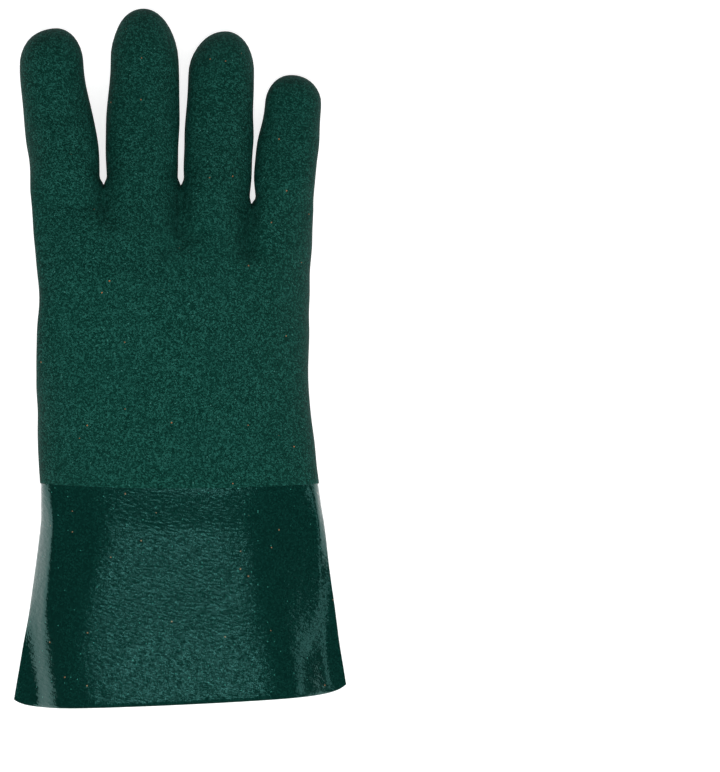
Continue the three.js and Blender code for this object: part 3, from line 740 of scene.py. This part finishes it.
def shell(skin, depth_outer, depth_inner, rims, normals, inner_normals, points):
    """Points, faces, material numbers and flat coordinates of a closed wall.

    rims lists open edges as (numbers of the edge ring, numbers of the next ring, whether it faces the mouth).
    """
    outer = points - normals * depth_outer[:, None]
    inner = points - inner_normals * depth_inner[:, None]
    outer[:, 2] = np.maximum(outer[:, 2], 0)
    inner[:, 2] = np.maximum(inner[:, 2], (depth_inner - depth_outer))
    count = len(points)
    flat = np.concatenate(skin.flat)
    faces = list(skin.faces) + [[count + corner for corner in reversed(face)] for face in skin.faces]
    materials = [0] * len(skin.faces) + [1] * len(skin.faces)
    all_points, all_flat, total = [outer, inner], [flat, flat], 2 * count
    for edge, following, faces_mouth in rims:
        away = outer[edge] - outer[following]
        away /= np.linalg.norm(away, axis=1, keepdims=True)
        thickness = np.linalg.norm(outer[edge] - inner[edge], axis=1, keepdims=True)
        rows = [edge]
        for step in range(1, RIM_STEPS):
            share = step / RIM_STEPS
            bulge = away * thickness * RIM_BULGE * np.sin(np.pi * share)
            all_points.append(lerp(outer[edge], inner[edge], share) + bulge)
            all_flat.append(flat[edge])
            rows.append(np.arange(total, total + len(edge)))
            total += len(edge)
        rows.append(edge + count)
        rows = rows if not faces_mouth else rows[::-1]
        low, high = np.array(rows[:-1]), np.array(rows[1:])
        quads = np.stack([low, np.roll(low, -1, axis=1), np.roll(high, -1, axis=1), high], axis=-1)
        faces += quads.reshape(-1, 4).tolist()
        outside_first = [0] * (RIM_STEPS // 2) + [1] * (RIM_STEPS - RIM_STEPS // 2)
        order = outside_first if not faces_mouth else outside_first[::-1]
        materials += np.repeat(order, len(edge)).tolist()
    return np.concatenate(all_points), faces, materials, np.concatenate(all_flat)


def seam_free(flat, faces):
    """Flat coordinates for each face corner, so that no face runs back across the seam of the ring."""
    corners = []
    for size in (3, 4):
        chosen = np.array([face for face in faces if len(face) == size])
        if len(chosen):
            values = flat[chosen].copy()
            spread = values[..., 0].max(axis=1) - values[..., 0].min(axis=1) > GIRTH / 2
            values[..., 0] += GIRTH * (spread[:, None] & (values[..., 0] < GIRTH / 2))
            corners.append((size, values))
    by_size = {size: iter(values) for size, values in corners}
    return np.concatenate([next(by_size[len(face)]) for face in faces])


def make_piece(name, points, faces, materials, flat):
    """A mesh object at the origin, in metres, with smooth faces and its flat coordinates as a UV map."""
    mesh = bpy.data.meshes.new(name)
    world = (points - [0, GLOVE_LENGTH / 2, 0]) * MM
    mesh.from_pydata(world.tolist(), [], faces)
    mesh.polygons.foreach_set("use_smooth", np.ones(len(faces), bool))
    mesh.polygons.foreach_set("material_index", np.array(materials, np.int32))
    layer = mesh.uv_layers.new(name="skin")
    layer.data.foreach_set("uv", (seam_free(flat, faces) * MM).astype(np.float32).ravel())
    mesh.update()
    mesh.validate()
    piece = bpy.data.objects.new(name, mesh)
    bpy.context.scene.collection.objects.link(piece)
    return piece


# %% [markdown]
# The two pieces
#
# The cuff is a smooth skin all the way and runs on for a finger's width under the rough coat. The hand's
# wall is only as thick as the rough coat where it lies on the cuff, and grows to its full thickness beyond
# it.

# %% Cuff and hand
HEM_SKIN = 0.35  # thickness of the rough coat where it lies over the cuff
HEM_GROWS = 14  # how far up the hand the wall takes to reach its full thickness
SWELL_FROM_FLOOR = 6  # below this height the skin rests on the ground and stays flat
CUFF_SWELL = 0.2  # size of the cuff's swellings, as a share of the hand's
SWELL_GROWS = 45  # how far beyond the coat line they take to reach their full size


def uneven(skin):
    """The skin's points with the swellings added, and its normals."""
    points = joined(skin)
    triangles = triangles_of(skin.faces)
    normals = normals_of(points, triangles)
    up_the_hand = smoothstep(points[:, 1], CUFF_LENGTH - CUFF_LAP, CUFF_LENGTH + SWELL_GROWS)
    lifted = smoothstep(points[:, 2], 0, SWELL_FROM_FLOOR) * lerp(CUFF_SWELL, 1, up_the_hand)
    points = points + normals * (swelling(points) * lifted)[:, None]
    normals = normals_of(points, triangles)
    return points, normals, smoothed(normals, triangles, NORMAL_ROUNDS)


cuff_points, cuff_normals, cuff_inner = uneven(cuff_skin)
every_cuff = np.ones(cuff_skin.count)
cuff_piece = make_piece(
    "smooth_gauntlet",
    *shell(
        cuff_skin,
        every_cuff * COAT_STEP,
        every_cuff * (COAT_STEP + CUFF_WALL),
        [(cuff_numbers[0], cuff_numbers[1], True), (cuff_numbers[-1], cuff_numbers[-2], False)],
        cuff_normals,
        cuff_inner,
        cuff_points,
    ),
)

hand_points, hand_normals, hand_inner = uneven(hand_skin)
hem = smoothstep(hand_points[:, 1], CUFF_LENGTH + CUFF_LAP, CUFF_LENGTH + HEM_GROWS)
hand_piece = make_piece(
    "sandy_hand",
    *shell(
        hand_skin,
        np.zeros(hand_skin.count),
        lerp(HEM_SKIN, HAND_WALL, hem),
        [(wrist_numbers[0], wrist_numbers[1], True)],
        hand_normals,
        hand_inner,
        hand_points,
    ),
)
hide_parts("gauntlet_cuff")
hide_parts("coated_hand")
for piece in (cuff_piece, hand_piece):
    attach(piece, "root")
    print(piece.name, len(piece.data.polygons), "faces")

# %% [markdown]
# Node helpers
#
# Effects that more than one finish needs are shader node groups, built once. These helpers make a group
# with named inputs and outputs, add nodes and link them, so that each finish below reads as a list of what
# it does.

# %% Node helpers


def node(tree, kind, inputs=None, **settings):
    """Adds a node, sets its options, and fills its inputs with values or links them to other sockets."""
    made = tree.nodes.new(kind)
    for name, value in settings.items():
        setattr(made, name, value)
    for name, value in (inputs or {}).items():
        if isinstance(value, bpy.types.NodeSocket):
            tree.links.new(value, made.inputs[name])
        else:
            made.inputs[name].default_value = value
    return made


def math_node(tree, operation, first, second):
    """A Math node's result."""
    return node(tree, "ShaderNodeMath", {0: first, 1: second}, operation=operation).outputs[0]


def ramp(tree, value, stops):
    """A colour ramp through (place, colour) stops."""
    made = node(tree, "ShaderNodeValToRGB", {0: value})
    elements = made.color_ramp.elements
    elements[0].position, elements[0].color = stops[0][0], (*stops[0][1], 1)
    elements[1].position, elements[1].color = stops[-1][0], (*stops[-1][1], 1)
    for place, colour in stops[1:-1]:
        elements.new(place).color = (*colour, 1)
    return made.outputs[0]


def mix(tree, factor, first, second):
    """Two colours mixed by a factor."""
    made = node(tree, "ShaderNodeMix", data_type="RGBA")
    for number, value in ((0, factor), (6, first), (7, second)):
        if isinstance(value, bpy.types.NodeSocket):
            tree.links.new(value, made.inputs[number])
        else:
            made.inputs[number].default_value = value if number == 0 else (*value, 1)
    return made.outputs[2]


def new_group(name, inputs, outputs):
    """An empty node group with named inputs and outputs: (name, socket type, first value)."""
    group = bpy.data.node_groups.new(name, "ShaderNodeTree")
    for socket_name, kind, value in inputs:
        socket = group.interface.new_socket(socket_name, in_out="INPUT", socket_type=kind)
        if value is not None:
            socket.default_value = value
    for socket_name, kind in outputs:
        group.interface.new_socket(socket_name, in_out="OUTPUT", socket_type=kind)
    return group, group.nodes.new("NodeGroupInput").outputs, group.nodes.new("NodeGroupOutput").inputs


def use_group(tree, group, **inputs):
    """Places a group in a material. Underscores in names stand for spaces."""
    made = tree.nodes.new("ShaderNodeGroup")
    made.node_tree = group
    for name, value in inputs.items():
        socket = made.inputs[name.replace("_", " ")]
        if isinstance(value, bpy.types.NodeSocket):
            tree.links.new(value, socket)
        else:
            socket.default_value = value
    return made.outputs


def new_material(name, roughness, tint):
    """A material with one Principled shader, whose even values are set here."""
    material = bpy.data.materials.new(name)
    material.use_nodes = True
    shader = material.node_tree.nodes["Principled BSDF"]
    shader.inputs["Roughness"].default_value = roughness
    shader.inputs["Specular Tint"].default_value = (*tint, 1)
    return material, material.node_tree, shader


FLOAT = "NodeSocketFloat"
VECTOR = "NodeSocketVector"

# %% [markdown]
# Stray specks and painted glints
#
# Here and there an orange fibre or grain of grit has been caught in the coat. They are rare points,
# so a cell pattern fits: only cells with a high random value get a speck, and it is only at the cell's very
# middle. The same pattern, with smaller and closer cells, also paints pale glints into the colour of both
# coats, as painted highlights.

# %% Stray specks and painted glints
specks_and_glints, incoming, outgoing = new_group(
    "Stray specks",
    [
        ("Vector", VECTOR, None),
        ("Cells per metre", FLOAT, 260.0),
        ("Share", FLOAT, 0.05),
        ("Size", FLOAT, 0.1),
    ],
    [("Mask", FLOAT)],
)
spread = {"Vector": incoming["Vector"], "Scale": incoming["Cells per metre"]}
cells = node(specks_and_glints, "ShaderNodeTexVoronoi", spread)
chance = node(specks_and_glints, "ShaderNodeSeparateColor", {0: cells.outputs["Color"]}).outputs[0]
chosen = math_node(specks_and_glints, "LESS_THAN", chance, incoming["Share"])
near = math_node(specks_and_glints, "LESS_THAN", cells.outputs["Distance"], incoming["Size"])
specks_and_glints.links.new(math_node(specks_and_glints, "MULTIPLY", chosen, near), outgoing["Mask"])

# %% [markdown]
# Grit
#
# The rough coat is full of fine grit, about half a millimetre across. Each grain catches the light on its
# own, and the rough coat's colour paints that sparkle as a slightly bluer, paler green on a dark ground, so
# its grain is partly the grit's own tone and partly painted highlight. Cells make the grains, finer noise
# breaks them up, and a third, slanting noise lines them up a little, as the cloth under the coat does.

# %% Grit
LINES_TURN = 0.9  # radians
LINES_PER_METRE = (1150, 520, 1150)
BROAD_PER_METRE = 35.0

grit, incoming, outgoing = new_group(
    "Grit",
    [("Vector", VECTOR, None), ("Grains per metre", FLOAT, 1900.0)],
    [("Grain", FLOAT), ("Height", FLOAT), ("Patch", FLOAT)],
)
spread = {"Vector": incoming["Vector"], "Scale": incoming["Grains per metre"]}
grains = node(grit, "ShaderNodeTexVoronoi", spread)
grain_value = node(grit, "ShaderNodeSeparateColor", {0: grains.outputs["Color"]}).outputs[0]
fine = node(grit, "ShaderNodeTexNoise", {**spread, "Detail": 3.0}).outputs[0]
slant = {"Vector": incoming["Vector"], "Rotation": (0, 0, LINES_TURN), "Scale": LINES_PER_METRE}
slanting = node(grit, "ShaderNodeMapping", slant).outputs[0]
lines = node(grit, "ShaderNodeTexNoise", {"Vector": slanting, "Scale": 1.0, "Detail": 2.0}).outputs[0]
patches = {"Vector": incoming["Vector"], "Scale": BROAD_PER_METRE, "Detail": 4.0}
broad = node(grit, "ShaderNodeTexNoise", patches).outputs[0]
round_grain = math_node(grit, "SUBTRACT", 1.0, grains.outputs["Distance"])
broken = math_node(grit, "MULTIPLY", grain_value, math_node(grit, "ADD", fine, lines))
grit.links.new(math_node(grit, "MULTIPLY", broken, 0.5), outgoing["Grain"])
rough = math_node(grit, "ADD", grain_value, fine)
grit.links.new(math_node(grit, "MULTIPLY", round_grain, rough), outgoing["Height"])
grit.links.new(broad, outgoing["Patch"])

# %% [markdown]
# Knit
#
# The cuff is glossy, but the loops of the knitted cloth press through the coat as short bars that lie
# across the glove and lean a little. Cells that are stretched across the glove give a bar each, and noise
# makes some of them stand out and others fade. The same knit shows plainly on the cloth inside, so it is a
# group with its own loop size.

# %% Knit
BAR_STRETCH = (1.0, 2.4, 1.0)  # bars are this much shorter along the glove than across it

knit, incoming, outgoing = new_group(
    "Knit",
    [("Vector", VECTOR, None), ("Bars per metre", FLOAT, 420.0), ("Lean", FLOAT, 0.25)],
    [("Height", FLOAT)],
)
lean = {"Vector": incoming["Vector"], "Angle": incoming["Lean"]}
turned = node(knit, "ShaderNodeVectorRotate", lean).outputs[0]
pulled = node(knit, "ShaderNodeVectorMath", {0: turned, 1: BAR_STRETCH}, operation="MULTIPLY").outputs[0]
cells = node(
    knit,
    "ShaderNodeTexVoronoi",
    {"Vector": pulled, "Scale": incoming["Bars per metre"], "Smoothness": 0.4},
    feature="SMOOTH_F1",
)
uneven_height = node(
    knit, "ShaderNodeTexNoise", {"Vector": pulled, "Scale": incoming["Bars per metre"], "Detail": 2.0}
).outputs[0]
bar = math_node(knit, "SUBTRACT", 1.0, cells.outputs["Distance"])
knit.links.new(math_node(knit, "MULTIPLY", bar, uneven_height), outgoing["Height"])

# %% [markdown]
# The rough coat
#
# Matt and dark, with grit on it. The bump is strong enough to break up any highlight, and the tint keeps
# what little shine is left in the green of the coat.

# %% Rough coat
SANDY_DEEP = (0.0005, 0.008, 0.0054)
SANDY_GREEN = (0.002, 0.0232, 0.0164)
SANDY_GRAIN_SPARKLE = (0.012, 0.071, 0.056)
SANDY_PATCH = (0.002, 0.022, 0.017)
SANDY_PAINTED_GLINT = (0.03, 0.11, 0.093)
SANDY_SPECK = (0.22, 0.09, 0.035)

sandy, tree, shader = new_material("sandy_pvc", roughness=0.85, tint=(0.25, 1.0, 0.9))
place = node(tree, "ShaderNodeTexCoord").outputs["Object"]
sand = use_group(tree, grit, Vector=place, Grains_per_metre=1900.0)
speck = use_group(tree, specks_and_glints, Vector=place, Cells_per_metre=300.0, Share=0.08, Size=0.1)["Mask"]
# partly painted highlight: the grain ramp is the grit's own tone, and its pale top stands for the light the
# grains catch
ground = ramp(tree, sand["Grain"], [(0.02, SANDY_DEEP), (0.25, SANDY_GREEN), (0.5, SANDY_GRAIN_SPARKLE)])
patchy = mix(tree, math_node(tree, "MULTIPLY", sand["Patch"], 0.5), ground, SANDY_PATCH)
# painted highlight: tiny pale teal dots in the base colour stand for glints of light on the grit
painted_glint = use_group(tree, specks_and_glints, Vector=place, Cells_per_metre=650.0, Share=0.07, Size=0.17)["Mask"]
with_painted_glints = mix(tree, painted_glint, patchy, SANDY_PAINTED_GLINT)
coloured = mix(tree, speck, with_painted_glints, SANDY_SPECK)
bump = node(tree, "ShaderNodeBump", {"Height": sand["Height"], "Strength": 0.6, "Distance": 0.0004})
tree.links.new(coloured, shader.inputs["Base Color"])
tree.links.new(bump.outputs[0], shader.inputs["Normal"])
shader.inputs["Specular IOR Level"].default_value = 0.3

# %% [markdown]
# The smooth coat
#
# The same green, but wet-looking and nearly black where it reflects nothing. The knit under it bends the
# normals, so a reflection breaks up into bars, and slow ripples make the edges of each reflection wander.

# %% Smooth coat
SMOOTH_DEEP = (0.0006, 0.0095, 0.0074)
SMOOTH_GREEN = (0.0017, 0.0185, 0.0142)
SMOOTH_PAINTED_GLINT = (0.02, 0.12, 0.095)
SMOOTH_SPECK = (0.2, 0.1, 0.05)
RIPPLES_PER_METRE = 260.0
FINE_PER_METRE = 1500.0

smooth, tree, shader = new_material("smooth_pvc", roughness=0.11, tint=(0.3, 1.0, 0.92))
place = node(tree, "ShaderNodeTexCoord").outputs["Object"]
flat_place = node(tree, "ShaderNodeUVMap", uv_map="skin").outputs[0]
loops = use_group(tree, knit, Vector=flat_place, Bars_per_metre=420.0, Lean=0.25)["Height"]
sand = use_group(tree, grit, Vector=place, Grains_per_metre=1700.0)
speck = use_group(tree, specks_and_glints, Vector=place, Cells_per_metre=300.0, Share=0.09, Size=0.09)["Mask"]
# painted highlight: tiny pale teal dots in the base colour stand for glints of light on the gloss
painted_glint = use_group(tree, specks_and_glints, Vector=place, Cells_per_metre=700.0, Share=0.06, Size=0.17)["Mask"]
ground = ramp(tree, sand["Grain"], [(0.08, SMOOTH_DEEP), (0.5, SMOOTH_GREEN)])
with_painted_glints = mix(tree, painted_glint, ground, SMOOTH_PAINTED_GLINT)
coloured = mix(tree, speck, with_painted_glints, SMOOTH_SPECK)
fine = node(tree, "ShaderNodeTexNoise", {"Vector": place, "Scale": FINE_PER_METRE, "Detail": 1.0}).outputs[0]
relief = math_node(tree, "ADD", loops, math_node(tree, "MULTIPLY", fine, 0.25))
slow = {"Vector": place, "Scale": RIPPLES_PER_METRE, "Detail": 2.0}
ripples = node(tree, "ShaderNodeTexNoise", slow).outputs[0]
rippled = node(tree, "ShaderNodeBump", {"Height": ripples, "Strength": 1.0, "Distance": 0.0001}).outputs[0]
pressed = {"Height": relief, "Strength": 1.0, "Distance": 0.00024, "Normal": rippled}
bump = node(tree, "ShaderNodeBump", pressed)
tree.links.new(coloured, shader.inputs["Base Color"])
tree.links.new(bump.outputs[0], shader.inputs["Normal"])

# %% [markdown]
# The cloth inside
#
# The photograph doesn't show the inside. Gloves like this are made on undyed cotton jersey, so that is what
# the inner layer gets: a warm off-white with the loops of the knit standing out.

# %% Cotton jersey
JERSEY_SHADE = (0.42, 0.37, 0.28)
JERSEY_LIGHT = (0.68, 0.63, 0.52)

jersey, tree, shader = new_material("cotton_jersey", roughness=0.95, tint=(1.0, 1.0, 1.0))
flat_place = node(tree, "ShaderNodeUVMap", uv_map="skin").outputs[0]
loops = use_group(tree, knit, Vector=flat_place, Bars_per_metre=700.0, Lean=0.0)["Height"]
ground = ramp(tree, loops, [(0.3, JERSEY_SHADE), (0.7, JERSEY_LIGHT)])
bump = node(tree, "ShaderNodeBump", {"Height": loops, "Strength": 0.8, "Distance": 0.0008})
tree.links.new(ground, shader.inputs["Base Color"])
tree.links.new(bump.outputs[0], shader.inputs["Normal"])

hand_piece.data.materials.append(sandy)
hand_piece.data.materials.append(jersey)
cuff_piece.data.materials.append(smooth)
cuff_piece.data.materials.append(jersey)

# %% [markdown]
# Floor and light
#
# The photograph is lit softly from above on plain white, with next to no shadow, so the paper under the
# glove glows a little. Three fills light the glove without showing in its gloss. The other panels are there
# to be mirrored: the cuff's flat back faces the one overhead, the lip at its mouth the one behind, and its
# right flank the streak. Its steep left edge mirrors the paper, and the dark room shows in all the rest.

# %% Floor
FLOOR_SIZE = 6
PAPER_SHADE = 0.5
PAPER_GLOW = 0.75
floor_mesh = bpy.data.meshes.new("floor")
half = FLOOR_SIZE / 2
floor_corners = [(-half, -half, 0), (half, -half, 0), (half, half, 0), (-half, half, 0)]
floor_mesh.from_pydata(floor_corners, [], [(0, 1, 2, 3)])
floor = bpy.data.objects.new("floor", floor_mesh)
bpy.context.scene.collection.objects.link(floor)
paper = bpy.data.materials.new("paper")
paper.use_nodes = True
paper_inputs = paper.node_tree.nodes["Principled BSDF"].inputs
paper_inputs["Base Color"].default_value = (PAPER_SHADE, PAPER_SHADE, PAPER_SHADE, 1)
paper_inputs["Roughness"].default_value = 1
paper_inputs["Specular IOR Level"].default_value = 0
paper_inputs["Emission Color"].default_value = (1, 1, 1, 1)
paper_inputs["Emission Strength"].default_value = PAPER_GLOW
floor_mesh.materials.append(paper)

# %% Light


def panel(name, place, aim, width, height, watts, seen_in_gloss=True):
    """A soft rectangular light that faces a point."""
    data = bpy.data.lights.new(name, "AREA")
    data.shape = "RECTANGLE"
    data.size, data.size_y = width, height
    data.energy = watts
    light = bpy.data.objects.new(name, data)
    light.location = place
    light.rotation_euler = (Vector(aim) - Vector(place)).to_track_quat("-Z", "Y").to_euler()
    light.visible_camera = False
    light.visible_glossy = seen_in_gloss
    bpy.context.scene.collection.objects.link(light)
    return light


panel("overhead", (-0.042, -0.15, 1.4), (-0.042, -0.15, 0), 0.38, 0.12, 0.124)
panel("behind", (-0.04, 0.01, 1.4), (-0.04, 0.01, 0), 0.6, 0.04, 0.92)
panel("streak", (1.3, -0.1, 0.5), (0, -0.1, 0), 1.0, 0.2, 1.1)
panel("top_fill", (0, -0.25, 0.8), (0, -0.25, 0), 0.7, 0.7, 11, seen_in_gloss=False)
panel("fill_left", (-1.3, -0.2, 1.3), (0, 0, 0), 1.2, 1.2, 10.5, seen_in_gloss=False)
panel("fill_right", (1.3, -0.2, 1.3), (0, 0, 0), 1.2, 1.2, 10.5, seen_in_gloss=False)

world = bpy.data.worlds.new("room")
world.use_nodes = True
world.node_tree.nodes["Background"].inputs["Color"].default_value = (1, 1, 1, 1)
world.node_tree.nodes["Background"].inputs["Strength"].default_value = 0.04
bpy.context.scene.world = world
bpy.context.scene.view_settings.view_transform = "Standard"
